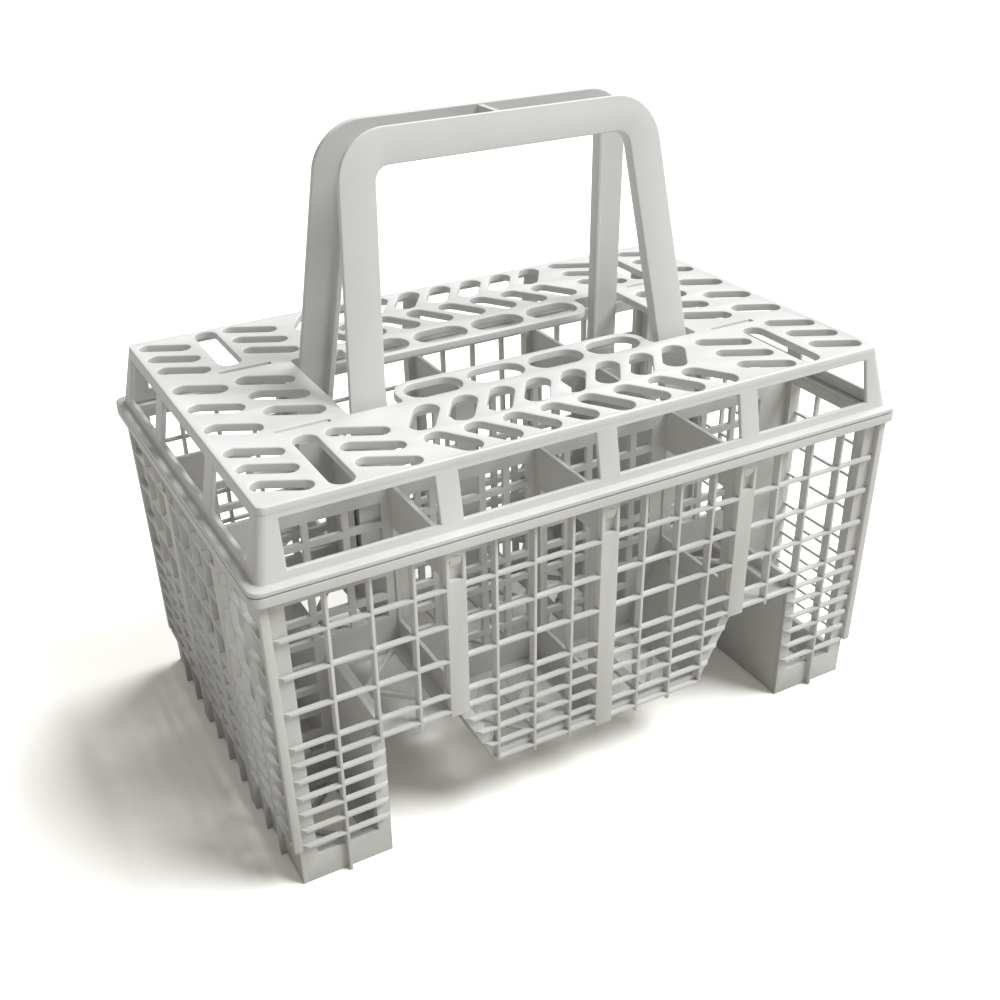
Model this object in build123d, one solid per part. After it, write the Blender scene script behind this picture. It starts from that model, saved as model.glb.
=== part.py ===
# Dishwasher cutlery basket: a lattice tub, a slotted top cover that snaps on, and a double handle.
# Millimetres, +Z up. Origin: middle of the footprint, on the surface that the two end feet stand on.
import os
from math import atan2, cos, degrees, radians, sin, tan

from build123d import *

# Tub: its outside is the face of the ribs, at the underside of the rim.
body_length = 235.0
body_width = 150.0
wall_top = 112.0
wall_draft = 1.0            # degrees, the walls lean outwards going up

# Rim of the tub and of the cover, which meet on one plane.
rim_overhang = 2.5
rim_height = 3.0
rim_corner = 4.0

# Wall build-up from the outside inwards: ribs, then slats, then a skin with large windows.
rib_depth = 1.1
slat_depth = 2.3
skin = 1.5
rib_width = 1.1
slat_height = 1.2
slat_first = 17.1           # top of the lowest slat
slat_pitch = 6.72
dense_slats = 7             # below these every level has a slat, above every second one
open_slats = 3

# Posts and ribs, at even pitches from the middle of a wall to the middle of its corner frames.
ribs_per_bay = 4            # pitches between two posts of a long wall
end_ribs = 4                # on each side of the middle of a short wall
end_post_rib = 2            # the rib that is a post, in line with an inner wall
corner_inset = 5.9          # middle of a corner frame from the end of a long wall
end_corner_inset = 6.75     # the same from the end of a short wall
post_width = 6.8
end_post_width = 6.0

# Underside: two feet, two channels and a lower belly between the channels.
foot_inner = 82.0
channel_roof = 48.0
belly_bottom = 21.0
belly_half = 42.5
floor = 1.8

# Frames that the skin leaves round its windows.
corner_frame = 4.5
foot_skirt = 10.5
foot_frame = 4.5
belly_skirt = 4.5
slant_frame = 4.0
top_frame = 2.0

# Inner walls, dividers and floor slots.
inner_wall = 1.4
inner_frame = 3.0           # between two windows of an inner wall
inner_sill = 10.0           # plain part above the floor
inner_lintel = 6.0          # plain part below the top
divider = 1.5
floor_pitch = 21.0          # about one slot of a floor with its gap
slot_gap = 4.0              # between two slots of a floor
floor_edge = 4.0

# Cover: a plate on a flared skirt.
cover_rim = 2.0
cover_ledge = 2.9
cover_height = 22.0         # from the rim's top to the plate's top
skirt_lean = 10.5           # degrees
skirt_wall = 1.8
plate = 2.4
plate_corner = 3.0
skirt_sill = 2.9
skirt_lintel = 4.0
skirt_post = 7.6
skirt_corner = 9.6

# Opening of the plate for the handle: narrow between two tongues, wide at the legs.
leg_clearance = 1.8         # outside a leg, along the basket
notch_clearance = 2.7       # outside a leg, across the basket
tongue_clearance = 4.6      # from a tongue's end to a leg
beam_clearance = 0.9        # on each side of the beam as it goes through
tongue_corner = 8.5

# Slots of the plate.
slot_flats = 3              # in each round end
oval_length = 20.5
oval_width = 12.5
oval_pitch = 23.5
oval_count = 4
oval_edge = 8.9             # middle of the ovals from the opening
slant_length = 19.5
slant_width = 8.2
slant_pitch = 13.67
slant_angle = 57.0          # degrees from the long side
slant_edge = 10.4           # middle of the outer row from the plate's long edge
slant_row_pitch = 19.9
slant_count = 8
end_angle = -28.0           # every slot of the two ends leans the same way
end_width = 6.2
end_count = 3               # slots in a column
outer_edge = 10.8           # middle of a column from the plate's short edge
outer_length = 18.4
outer_pitch = 12.0
outer_margin = 10.0         # middle of the last slot from the plate's long edge
inner_edge = 43.0
inner_length = 20.0
inner_pitch = 11.65
inner_margin = 8.2
middle_edge = 32.0
middle_width = 7.4
middle_outer_pitch = 17.5
middle_inner_pitch = 14.0
long_edge = 27.0
long_length = 36.2
long_width = 8.0
long_margin = 1.7           # end of the slot from the plate's long edge
groove_length = 18.5
groove_width = 2.2
groove_depth = 0.8
groove_edge = 29.7

# Snap hooks of the cover in the posts of the tub.
hook_width = 3.8
hook_arm = 1.5
hook_reach = 6.5            # from the parting plane down to the hook's catch
hook_nose = 4.0
hook_clearance = 0.3
hook_window = 9.0

# Handle: two bails that lean together and stand over the inner walls.
handle_height = 82.7        # above the cover
bail_half_gap = 9.1         # outer face from the middle, at the top
bail_half_length = 57.4
bail_plate = 2.0
beam_height = 11.5
leg_width = 12.3
leg_splay = 5.5             # degrees
bail_outer_corner = 17.0
bail_inner_corner = 5.0
bail_flange = 4.5           # depth of the stiffening flange along the inner edge
bail_flange_wall = 2.0
web_wall = 2.0
handle_foot = 9.8           # width of a leg's foot
socket_depth = 20.0
socket_drop = 4.0           # top of a socket below the top of the walls
socket_wall = 1.6
seat_clearance = 0.3
cut_margin = 1.0            # how far a cut starts outside the face it opens

# Worked out from the sizes above.
drop = tan(radians(wall_draft))
skin_inset = rib_depth + slat_depth
inner_inset = skin_inset + skin
parting = wall_top + rim_height
rim_length = body_length + 2 * rim_overhang
rim_width = body_width + 2 * rim_overhang
cover_top = parting + cover_rim + cover_height
rib_pitch = (body_length / 2 - corner_inset) / (2 * ribs_per_bay)
post_pitch = ribs_per_bay * rib_pitch
end_rib_pitch = (body_width / 2 - end_corner_inset) / (end_ribs + 1)
end_post_y = end_post_rib * end_rib_pitch
reach = rim_length + rim_width          # longer than anything here, for through cuts
slat_levels = [slat_first + k * slat_pitch for k in range(dense_slats)]
slat_levels += [slat_levels[-1] + 2 * (k + 1) * slat_pitch for k in range(open_slats)]
post_places = [-post_pitch, 0, post_pitch]
end_post_places = [-end_post_y, end_post_y]
plate_bottom = cover_top - plate
plate_half_length = rim_length / 2 - cover_ledge - cover_height * tan(radians(skirt_lean))
plate_half_width = rim_width / 2 - cover_ledge - cover_height * tan(radians(skirt_lean))
handle_top = cover_top + handle_height
socket_top = wall_top - socket_drop
socket_bottom = socket_top - socket_depth
bail_run = end_post_y + inner_wall / 2 - bail_half_gap
bail_lean = degrees(atan2(bail_run, handle_top - wall_top))


def span(x, y, z):
    """A box between two values on each axis."""
    low, high = zip(x, y, z)
    size = [b - a for a, b in zip(low, high)]
    return Pos(*low) * Box(*size, align=Align.MIN)


def centred(middle, width):
    return (middle - width / 2, middle + width / 2)


def everywhere():
    return (-reach, reach)


def along_x(points, length=None):
    """A prism along X, through everything if no length is given, over y, z points."""
    face = make_face(Polyline(*[(0, y, z) for y, z in points], close=True))
    return extrude(face, amount=(length or 2 * reach) / 2, both=True, dir=(1, 0, 0))


def along_y(points):
    """A prism through the whole depth over x, z points."""
    face = make_face(Polyline(*[(x, 0, z) for x, z in points], close=True))
    return extrude(face, amount=reach, both=True, dir=(0, 1, 0))


def half_length(inset, z):
    return body_length / 2 - inset - (wall_top - z) * drop


def half_width(inset, z):
    return body_width / 2 - inset - (wall_top - z) * drop


def wall_block(inset):
    """The drafted tub as a solid, its sides set in from the faces of the ribs."""
    corners = ((-1, 0), (1, 0), (1, wall_top), (-1, wall_top))
    long_profile = along_y([(side * half_length(inset, z), z) for side, z in corners])
    return long_profile & along_x([(side * half_width(inset, z), z) for side, z in corners])


def bail_y(z):
    """Outer face of a bail from the middle, at a height."""
    return bail_half_gap + (handle_top - z) * tan(radians(bail_lean))


def leg_outer(z):
    """Outer edge of a leg of the handle from the middle, at a height."""
    return bail_half_length + (handle_top - z) * tan(radians(leg_splay)) / cos(radians(bail_lean))


def foot_x():
    """Start and end of a leg's foot, under the middle of the leg."""
    return centred(leg_outer(wall_top) - leg_width / 2, handle_foot)


def both_sides(shape):
    return [shape, mirror(shape, about=Plane.YZ)]


def slant_x(z, inset=0.0):
    """Where the belly's slanted side is at a height, set in square to it."""
    run, rise = post_pitch - belly_half, channel_roof - belly_bottom
    slope_length = (run**2 + rise**2) ** 0.5
    return belly_half + (z - belly_bottom) * run / rise - inset * slope_length / rise


def underside():
    """Outline of all that lies above the underside, as a face in X and Z."""
    right = [
        (belly_half, belly_bottom),
        (post_pitch, channel_roof),
        (foot_inner, channel_roof),
        (foot_inner, 0),
        (reach, 0),
        (reach, reach),
    ]
    left = [(-x, z) for x, z in reversed(right)]
    return make_face(Polyline(*[(x, z) for x, z in right + left], close=True))


def above_underside(inset):
    face = offset(underside(), amount=-inset, kind=Kind.INTERSECTION) if inset else underside()
    return extrude(Plane.XZ * face, amount=reach, both=True)


def floor_height(x):
    """Top of the floor under a place along the basket."""
    x = abs(x)
    if x > foot_inner:
        return floor
    if x > post_pitch:
        return channel_roof + floor
    slope = (channel_roof - belly_bottom) / (post_pitch - belly_half)
    return belly_bottom + floor + max(0, x - belly_half) * slope


def skin_tub(cavity):
    """The thin tub with its stepped floor and one large window in each bay."""
    tub = wall_block(skin_inset) & above_underside(0)
    tub -= cavity
    top = wall_top - top_frame
    post_edge = post_pitch + post_width / 2
    corner_low = half_length(skin_inset, foot_skirt) - corner_frame
    corner_high = half_length(skin_inset, top) - corner_frame
    sill = channel_roof + floor
    end_bay = [
        (post_edge, sill),
        (foot_inner + foot_frame, sill),
        (foot_inner + foot_frame, foot_skirt),
        (corner_low, foot_skirt),
        (corner_high, top),
        (post_edge, top),
    ]
    low = belly_bottom + belly_skirt
    bay_end = post_pitch - post_width / 2
    slant_end = low + (bay_end - slant_x(low, slant_frame)) / (slant_x(low + 1) - slant_x(low))
    middle_bay = [
        (post_width / 2, low),
        (slant_x(low, slant_frame), low),
        (bay_end, slant_end),
        (bay_end, top),
        (post_width / 2, top),
    ]
    for bay in (end_bay, middle_bay):
        tub -= both_sides(along_y(bay))
    edge = half_width(skin_inset, foot_skirt) - corner_frame
    post = end_post_y - end_post_width / 2
    for y in ((-edge, -post - end_post_width), (-post, post), (post + end_post_width, edge)):
        window = span((foot_inner + foot_frame + skin, reach), y, (foot_skirt, top))
        tub -= both_sides(window)
    return tub


def rib_foot(x):
    """Lower end of a rib of the long walls."""
    if x > foot_inner + foot_frame:
        return 0.0
    if x > post_pitch:
        return channel_roof
    if x > belly_half - rib_width:
        return min(z - slat_height for z in slat_levels if slant_x(z - slat_height) > x + rib_width)
    return belly_bottom


def wall_lattice():
    """Slats in one layer all round, with ribs, posts and corner posts on their faces."""
    face = wall_block(0)
    rib_layer = face - wall_block(rib_depth)
    slat_layer = wall_block(rib_depth) - wall_block(skin_inset)
    both_layers = face - wall_block(skin_inset)
    long_ribs = [k * rib_pitch for k in range(1, 2 * ribs_per_bay) if k % ribs_per_bay]
    bars = [(x, rib_foot(x)) for x in long_ribs]
    bars += [(-x, low) for x, low in bars]
    end_bars = [k * end_rib_pitch for k in range(-end_ribs, end_ribs + 1) if abs(k) != end_post_rib]

    pieces = []
    for x, low in bars:
        pieces.append(rib_layer & span(centred(x, rib_width), everywhere(), (low, wall_top)))
        base = min(z - slat_height for z in slat_levels if z - slat_height >= low)
        if base > low:
            pieces.append(slat_layer & span(centred(x, rib_width), everywhere(), (low, base)))
    for y in end_bars:
        pieces.append(rib_layer & span(everywhere(), centred(y, rib_width), (0, wall_top)))
        pieces.append(slat_layer & span(everywhere(), centred(y, rib_width), (0, slat_first - slat_height)))
    for x in post_places:
        low = belly_bottom if x == 0 else channel_roof
        pieces.append(both_layers & span(centred(x, post_width), everywhere(), (low, wall_top)))
    for y in end_post_places:
        pieces.append(both_layers & span(everywhere(), centred(y, end_post_width), (0, wall_top)))
    for z in slat_levels:
        pieces.append(slat_layer & span(everywhere(), everywhere(), (z - slat_height, z)))
    low = slat_first - slat_height
    for sx in (-1, 1):
        for sy in (-1, 1):
            x = sorted((sx * half_length(skin_inset, low), sx * reach))
            y = sorted((sy * half_width(skin_inset, low), sy * reach))
            pieces.append(both_layers & span(x, y, (low, wall_top)))
    lattice = Part() + pieces
    return lattice & above_underside(0)


def inner_walls(cavity):
    """Two long inner walls with tall windows, and the dividers between the compartments."""
    pieces = []
    columns = [(k + 0.5) * rib_pitch for k in range(2 * ribs_per_bay) if k != ribs_per_bay]
    window = rib_pitch - inner_frame
    top = wall_top - inner_lintel
    for side in (-1, 1):
        panel = span(everywhere(), centred(side * end_post_y, inner_wall), (0, wall_top))
        for x in columns:
            low = max(floor_height(x - window / 2), floor_height(x + window / 2)) + inner_sill
            cut = span(centred(x, window), everywhere(), (low, top))
            panel -= both_sides(cut)
        pieces.append(panel & cavity)
    for x in post_places:
        wall = span(centred(x, divider), everywhere(), (0, wall_top)) & cavity
        if x == 0:
            wall -= span(everywhere(), (-end_post_y, end_post_y), (0, wall_top))
        pieces.append(wall)
    return pieces


def floor_slots():
    """Long slots through the floors of the feet, the channels and the belly."""
    rows = [
        (-half_width(inner_inset, 0) + floor_edge, -end_post_y - floor_edge),
        (-end_post_y + floor_edge, end_post_y - floor_edge),
        (end_post_y + floor_edge, half_width(inner_inset, 0) - floor_edge),
    ]
    zones = [
        (divider / 2, belly_half, belly_bottom),
        (post_pitch + divider / 2, foot_inner, channel_roof),
        (foot_inner + floor, half_length(inner_inset, 0), 0.0),
    ]
    slots = []
    for start, end, height in zones:
        count = max(1, round((end - start) / floor_pitch))
        pitch = (end - start - slot_gap) / count
        for k in range(count):
            x = start + slot_gap + k * pitch
            for y in rows:
                slot = span((x, x + pitch - slot_gap), y, (height - floor, height + 2 * floor))
                slots += both_sides(slot)
    return slots


def socket_shape(grow, z):
    """The space of a leg's foot against an inner wall, grown by a wall on its free sides."""
    face = end_post_y - inner_wall / 2
    room = seat_clearance + grow
    x = (foot_x()[0] - room, foot_x()[1] + room)
    return span(x, (face - seat_clearance - bail_plate - room, face), z)


def at_legs(shape):
    """Copies of a shape to all four legs."""
    pair = both_sides(shape)
    return pair + [mirror(s, about=Plane.XZ) for s in pair]


def hook_places():
    """Rotation and distance that bring the front middle hook to each post."""
    front = body_width / 2
    side = body_length / 2
    places = []
    for turn, distance, along in ((0, front, post_places), (180, front, post_places)):
        places += [Rot(0, 0, turn) * Pos(x, -distance, 0) for x in along]
    for turn in (90, -90):
        places += [Rot(0, 0, turn) * Pos(y, -side, 0) for y in end_post_places]
    return places


def hook():
    """An arm that hangs from the cover behind a post, with its nose in the post's window."""
    behind = rib_depth + hook_clearance
    catch = parting - hook_reach
    bottom = catch - hook_nose
    outline = [
        (behind + hook_arm, parting + cover_rim),
        (behind + hook_arm, bottom),
        (behind, bottom),
        (hook_clearance, catch - hook_nose / 2),
        (hook_clearance, catch),
        (behind, catch),
        (behind, parting + cover_rim),
    ]
    return along_x(outline, hook_width)


def basket_body():
    cavity = wall_block(inner_inset) & above_underside(floor)
    rim = Rectangle(rim_length, rim_width)
    rim = fillet(rim.vertices(), rim_corner)
    inside = Rectangle(body_length - 2 * inner_inset, body_width - 2 * inner_inset)
    rim = extrude(Pos(0, 0, wall_top) * (rim - inside), amount=rim_height)
    body = skin_tub(cavity) + [rim, wall_lattice(), *inner_walls(cavity)]
    body -= floor_slots()
    body += at_legs(socket_shape(socket_wall, (socket_bottom - socket_wall, socket_top)))
    body -= at_legs(socket_shape(0, (socket_bottom, wall_top + cut_margin)))
    gap = hook_width / 2 + hook_clearance
    catch = parting - hook_reach + hook_clearance
    slot = span((-gap, gap), (rib_depth, skin_inset), (catch - hook_window, parting + cut_margin))
    window = span((-gap, gap), (-cut_margin, rib_depth), (catch - hook_window, catch))
    body -= [place * cut for place in hook_places() for cut in (slot, window)]
    return body


def plate_slot(x, y, length, width, angle):
    """A slot with round ends, each end in a few flats."""
    half = (length - width) / 2
    turns = [radians(180 * k / slot_flats) for k in range(slot_flats + 1)]
    end = [(half + width / 2 * sin(turn), -width / 2 * cos(turn)) for turn in turns]
    outline = end + [(-u, -v) for u, v in end]
    return Pos(x, y) * Rot(0, 0, angle) * make_face(Polyline(*outline, close=True))


def row_places(count, pitch):
    """Places of a row that is centred on the basket."""
    return [(k - (count - 1) / 2) * pitch for k in range(count)]


def column(end, edge, places, length, width):
    """Slots above one another at one end of the plate, all with the same lean."""
    x = end * (plate_half_length - edge)
    return [plate_slot(x, y, length, width, end_angle) for y in places]


def plate_slots():
    slots = []
    for side in (-1, 1):
        y = side * (beam_room() + oval_edge)
        slots += [plate_slot(x, y, oval_length, oval_width, 0) for x in row_places(oval_count, oval_pitch)]
        for k, lean in enumerate((side, -side)):
            y = side * (plate_half_width - slant_edge - k * slant_row_pitch)
            for x in row_places(slant_count, slant_pitch):
                slots.append(plate_slot(x, y, slant_length, slant_width, lean * slant_angle))
        outer_rows = [side * (plate_half_width - outer_margin - k * outer_pitch) for k in range(end_count)]
        inner_rows = [side * (plate_half_width - inner_margin - k * inner_pitch) for k in range(end_count)]
        for end in (-1, 1):
            slots += column(end, outer_edge, outer_rows, outer_length, end_width)
            slots += column(end, inner_edge, inner_rows, inner_length, end_width)
            x = end * (plate_half_length - long_edge)
            y = side * (plate_half_width - long_margin - long_length / 2)
            slots.append(plate_slot(x, y, long_length, long_width, 90))
    for end in (-1, 1):
        places = row_places(end_count, middle_outer_pitch)
        slots += column(end, outer_edge, places, outer_length, middle_width)
        places = row_places(end_count, middle_inner_pitch)
        slots += column(end, middle_edge, places, inner_length, middle_width)
    return slots


def beam_room():
    """Half the width between the tongues, which the handle's beam goes through."""
    return bail_y(handle_top - beam_height) + beam_clearance


def handle_opening():
    """Outline of the plate's opening: a slot between the tongues with a wide notch at each end."""
    notch = bail_y(plate_bottom) + notch_clearance
    outline = Rectangle(2 * (leg_outer(plate_bottom) + leg_clearance), 2 * notch)
    tongue_half = leg_outer(cover_top) - leg_width - tongue_clearance
    tongue = Pos(0, notch) * Rectangle(2 * tongue_half, 2 * (notch - beam_room()))
    tongue = fillet(tongue.vertices().sort_by(Axis.Y)[:2], tongue_corner)
    return outline - [tongue, mirror(tongue, about=Plane.XZ)]


def top_cover():
    base_length = rim_length - 2 * cover_ledge
    base_width = rim_width - 2 * cover_ledge
    low = parting + cover_rim
    outside = Rectangle(base_length, base_width)
    inside = Rectangle(base_length - 2 * skirt_wall, base_width - 2 * skirt_wall)
    cover = extrude(Pos(0, 0, low) * outside, amount=cover_height, taper=skirt_lean)
    corners = cover.edges().filter_by(Axis.X, reverse=True).filter_by(Axis.Y, reverse=True)
    cover = fillet(corners, plate_corner)
    rim = fillet(Rectangle(rim_length, rim_width).vertices(), rim_corner)
    cover += extrude(Pos(0, 0, parting) * rim, amount=cover_rim)
    cover -= extrude(Pos(0, 0, low) * inside, amount=cover_height - plate, taper=skirt_lean)
    cover -= extrude(Pos(0, 0, parting) * inside, amount=cover_rim)

    z = (low + skirt_sill, cover_top - skirt_lintel)
    outer = base_length / 2 - skirt_corner
    half = skirt_post / 2
    for x in ((half, post_pitch - half), (post_pitch + half, outer)):
        cover -= both_sides(span(x, everywhere(), z))
    outer = base_width / 2 - skirt_corner
    cover -= span(everywhere(), (-end_post_y + half, end_post_y - half), z)
    for side in (-1, 1):
        cover -= span(everywhere(), sorted((side * (end_post_y + half), side * outer)), z)

    through = Pos(0, 0, cover_top - 2 * plate)
    cover -= [extrude(through * s, amount=3 * plate) for s in [*plate_slots(), handle_opening()]]
    groove = Box(groove_length, groove_width, 2 * groove_depth)
    for y in end_post_places:
        cover -= both_sides(Pos(plate_half_length - groove_edge, y, cover_top) * groove)
    return cover + [place * hook() for place in hook_places()]


def trapezoid(low_half, low, high_half, high):
    points = ((-low_half, low), (low_half, low), (high_half, high), (-high_half, high))
    return make_face(Polyline(*points, close=True))


def bail():
    """The front bail: a flat plate in the shape of a bow, with a flange along its inner edge."""
    face = Plane(
        origin=(0, -bail_half_gap, handle_top),
        x_dir=(1, 0, 0),
        z_dir=(0, -cos(radians(bail_lean)), sin(radians(bail_lean))),
    )
    low = wall_top + seat_clearance + bail_flange * sin(radians(bail_lean))
    length = (handle_top - low) / cos(radians(bail_lean))
    splay = tan(radians(leg_splay))
    bow = trapezoid(leg_outer(low), -length, bail_half_length, 0)
    bow = fillet(bow.vertices().sort_by(Axis.Y)[-2:], bail_outer_corner)
    inner_top = bail_half_length - leg_width + beam_height * splay
    hole = trapezoid(leg_outer(low) - leg_width, -length, inner_top, -beam_height)
    hole = fillet(hole.vertices().sort_by(Axis.Y)[-2:], bail_inner_corner)
    edge = offset(hole, amount=bail_flange_wall) & bow
    shape = extrude(face * (bow - hole), amount=-bail_plate)
    shape += extrude(face * (edge - hole), amount=-bail_flange)
    wall_face = end_post_y - inner_wall / 2 - seat_clearance
    y = (-wall_face, -wall_face + bail_plate)
    return shape + both_sides(span(foot_x(), y, (socket_bottom, wall_top + bail_flange)))


def handle():
    front = bail()
    top, low = handle_top - web_wall / 2, handle_top - beam_height
    inner = [bail_y(z) - bail_plate / 2 for z in (top, low)]
    web = along_x([(-inner[0], top), (inner[0], top), (inner[1], low), (-inner[1], low)], web_wall)
    return front + [mirror(front, about=Plane.XZ), web]


os.makedirs("parts", exist_ok=True)
for name, make in (("basket_body", basket_body), ("top_cover", top_cover), ("handle", handle)):
    export_step(make(), f"parts/{name}.step")
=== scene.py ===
from math import atan2, cos, hypot, radians, sin, tan

import bpy
from mathutils import Matrix, Vector


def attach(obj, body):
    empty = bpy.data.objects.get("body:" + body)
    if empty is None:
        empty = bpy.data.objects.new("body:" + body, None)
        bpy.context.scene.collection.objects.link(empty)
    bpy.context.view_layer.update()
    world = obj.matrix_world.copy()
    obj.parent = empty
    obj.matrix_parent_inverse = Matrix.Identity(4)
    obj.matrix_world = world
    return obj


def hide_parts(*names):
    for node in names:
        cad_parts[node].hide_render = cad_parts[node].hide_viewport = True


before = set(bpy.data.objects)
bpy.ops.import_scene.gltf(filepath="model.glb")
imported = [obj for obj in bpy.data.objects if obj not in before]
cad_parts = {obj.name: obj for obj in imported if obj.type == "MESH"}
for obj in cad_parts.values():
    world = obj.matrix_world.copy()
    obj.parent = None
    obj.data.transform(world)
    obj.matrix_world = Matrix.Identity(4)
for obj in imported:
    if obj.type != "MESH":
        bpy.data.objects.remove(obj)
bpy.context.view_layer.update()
mm = 0.001
mergeWithin = 0.002 * mm
cutWithin = 0.001 * mm
print("frame loaded:", sorted(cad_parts))


# small helpers for working on one object at a time
def deselectAll():
    bpy.ops.object.select_all(action="DESELECT")


def makeActive(obj):
    deselectAll()
    obj.select_set(True)
    bpy.context.view_layer.objects.active = obj


def applyModifiers(obj):
    makeActive(obj)
    for modifier in list(obj.modifiers):
        bpy.ops.object.modifier_apply(modifier=modifier.name)


def selectFaces(piece, chosen):
    # leaves the piece in edit mode with only the faces that pass selected
    makeActive(piece)
    bpy.ops.object.mode_set(mode="EDIT")
    bpy.ops.mesh.select_mode(type="FACE")
    bpy.ops.mesh.select_all(action="DESELECT")
    bpy.ops.object.mode_set(mode="OBJECT")
    for face in piece.data.polygons:
        face.select = chosen(face)
    bpy.ops.object.mode_set(mode="EDIT")


def noFaces(places):
    return False


def mergedCopy(node, name, cuts=(), dropped=noFaces):
    # the CAD mesh is loose triangles, so the copy is merged and its flat faces made whole; what lies
    # beyond each cut, a point in millimetres and a direction, and the dropped faces go first
    piece = bpy.data.objects.new(name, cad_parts[node].data.copy())
    bpy.context.scene.collection.objects.link(piece)
    makeActive(piece)
    bpy.ops.mesh.customdata_custom_splitnormals_clear()
    bpy.ops.object.mode_set(mode="EDIT")
    bpy.ops.mesh.select_all(action="SELECT")
    bpy.ops.mesh.remove_doubles(threshold=mergeWithin)
    for point, direction in cuts:
        bpy.ops.mesh.select_all(action="SELECT")
        bpy.ops.mesh.bisect(
            plane_co=[v * mm for v in point], plane_no=direction, clear_outer=True, threshold=cutWithin
        )
    bpy.ops.object.mode_set(mode="OBJECT")
    places = [v.co / mm for v in piece.data.vertices]
    selectFaces(piece, lambda face: dropped([places[v] for v in face.vertices]))
    bpy.ops.mesh.delete(type="FACE")
    bpy.ops.mesh.select_all(action="SELECT")
    bpy.ops.mesh.dissolve_limited(angle_limit=radians(0.4))
    bpy.ops.object.mode_set(mode="OBJECT")
    return piece


def anywhere(place):
    return True


def softenEdges(piece, look, allowed=anywhere):
    # rounds the sharp edges whose two ends lie where that is allowed, places in millimetres
    makeActive(piece)
    bpy.ops.object.mode_set(mode="EDIT")
    bpy.ops.mesh.select_mode(type="EDGE")
    bpy.ops.mesh.select_all(action="DESELECT")
    bpy.ops.mesh.edges_select_sharp(sharpness=radians(look["angle"]))
    bpy.ops.object.mode_set(mode="OBJECT")
    weights = piece.data.attributes.new("bevel_weight_edge", "FLOAT", "EDGE")
    points = [v.co / mm for v in piece.data.vertices]
    for edge in piece.data.edges:
        if edge.select and all(allowed(points[v]) for v in edge.vertices):
            weights.data[edge.index].value = 1.0
    bevel = piece.modifiers.new("softEdges", "BEVEL")
    bevel.width = look["edge"] * mm
    bevel.segments = look["segments"]
    bevel.limit_method = "WEIGHT"
    bevel.use_clamp_overlap = False
    applyModifiers(piece)
    bpy.ops.object.shade_smooth_by_angle(angle=radians(look["angle"]))


def boxAt(low, high, name):
    # a cube between two corners, in millimetres, its place kept in its mesh
    middle = [(a + b) / 2 * mm for a, b in zip(low, high)]
    size = [(b - a) * mm for a, b in zip(low, high)]
    deselectAll()
    bpy.ops.mesh.primitive_cube_add(size=1, location=middle, scale=size)
    bpy.ops.object.transform_apply(location=True, rotation=True, scale=True)
    bpy.context.object.name = name
    return bpy.context.object


def joinAll(objects, name):
    deselectAll()
    for obj in objects:
        obj.select_set(True)
    bpy.context.view_layer.objects.active = objects[0]
    bpy.ops.object.join()
    objects[0].name = name
    return objects[0]


# plastic: light grey polypropylene with a faint mottle and a fine moulded grain
def mouldedPlastic(name, look):
    material = bpy.data.materials.new(name)
    material.use_nodes = True
    nodes, links = material.node_tree.nodes, material.node_tree.links
    shader = nodes["Principled BSDF"]
    place = nodes.new("ShaderNodeTexCoord")
    mottle = nodes.new("ShaderNodeTexNoise")
    mottle.inputs["Scale"].default_value = look["mottleScale"]
    mottle.inputs["Detail"].default_value = look["mottleDetail"]
    links.new(place.outputs["Object"], mottle.inputs["Vector"])
    tint = nodes.new("ShaderNodeValToRGB")
    colours = (look["deep"], look["pale"])
    for stop, position, colour in zip(tint.color_ramp.elements, look["mottleRange"], colours):
        stop.position = position
        stop.color = (*colour, 1)
    links.new(mottle.outputs["Fac"], tint.inputs["Fac"])
    links.new(tint.outputs["Color"], shader.inputs["Base Color"])
    grain = nodes.new("ShaderNodeTexNoise")
    grain.inputs["Scale"].default_value = look["grainScale"]
    grain.inputs["Detail"].default_value = look["grainDetail"]
    links.new(place.outputs["Object"], grain.inputs["Vector"])
    gloss = nodes.new("ShaderNodeMapRange")
    gloss.inputs["To Min"].default_value = look["roughness"] - look["roughnessSpread"]
    gloss.inputs["To Max"].default_value = look["roughness"] + look["roughnessSpread"]
    links.new(mottle.outputs["Fac"], gloss.inputs["Value"])
    links.new(gloss.outputs["Result"], shader.inputs["Roughness"])
    bump = nodes.new("ShaderNodeBump")
    bump.inputs["Strength"].default_value = look["grainStrength"]
    bump.inputs["Distance"].default_value = look["grainDepth"] * mm
    links.new(grain.outputs["Fac"], bump.inputs["Height"])
    links.new(bump.outputs["Normal"], shader.inputs["Normal"])
    shader.inputs["Specular IOR Level"].default_value = look["specular"]
    shader.inputs["IOR"].default_value = look["ior"]
    return material


bodyLook = {
    "deep": (0.60, 0.595, 0.575),
    "pale": (0.67, 0.665, 0.65),
    "mottleScale": 22.0,
    "mottleDetail": 5,
    "mottleRange": (0.32, 0.68),
    "grainScale": 1400.0,
    "grainDetail": 3,
    "grainStrength": 0.25,
    "grainDepth": 0.06,
    "roughness": 0.46,
    "roughnessSpread": 0.06,
    "specular": 0.4,
    "ior": 1.49,
}
coverLook = dict(bodyLook, deep=(0.63, 0.63, 0.62), pale=(0.70, 0.70, 0.69), roughness=0.42)
handleLook = dict(
    bodyLook, deep=(0.62, 0.62, 0.61), pale=(0.69, 0.69, 0.68), roughness=0.38, mottleScale=14.0
)

bodyPlastic = mouldedPlastic("bodyPlastic", bodyLook)
coverPlastic = mouldedPlastic("coverPlastic", coverLook)
handlePlastic = mouldedPlastic("handlePlastic", handleLook)
print("plastics made")


def finishPiece(piece, material, slot, *nodes):
    piece.data.materials.clear()
    piece.data.materials.append(material)
    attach(piece, "root")
    if nodes:
        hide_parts(*nodes)
    print(piece.name, len(piece.data.polygons), "faces")


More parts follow.
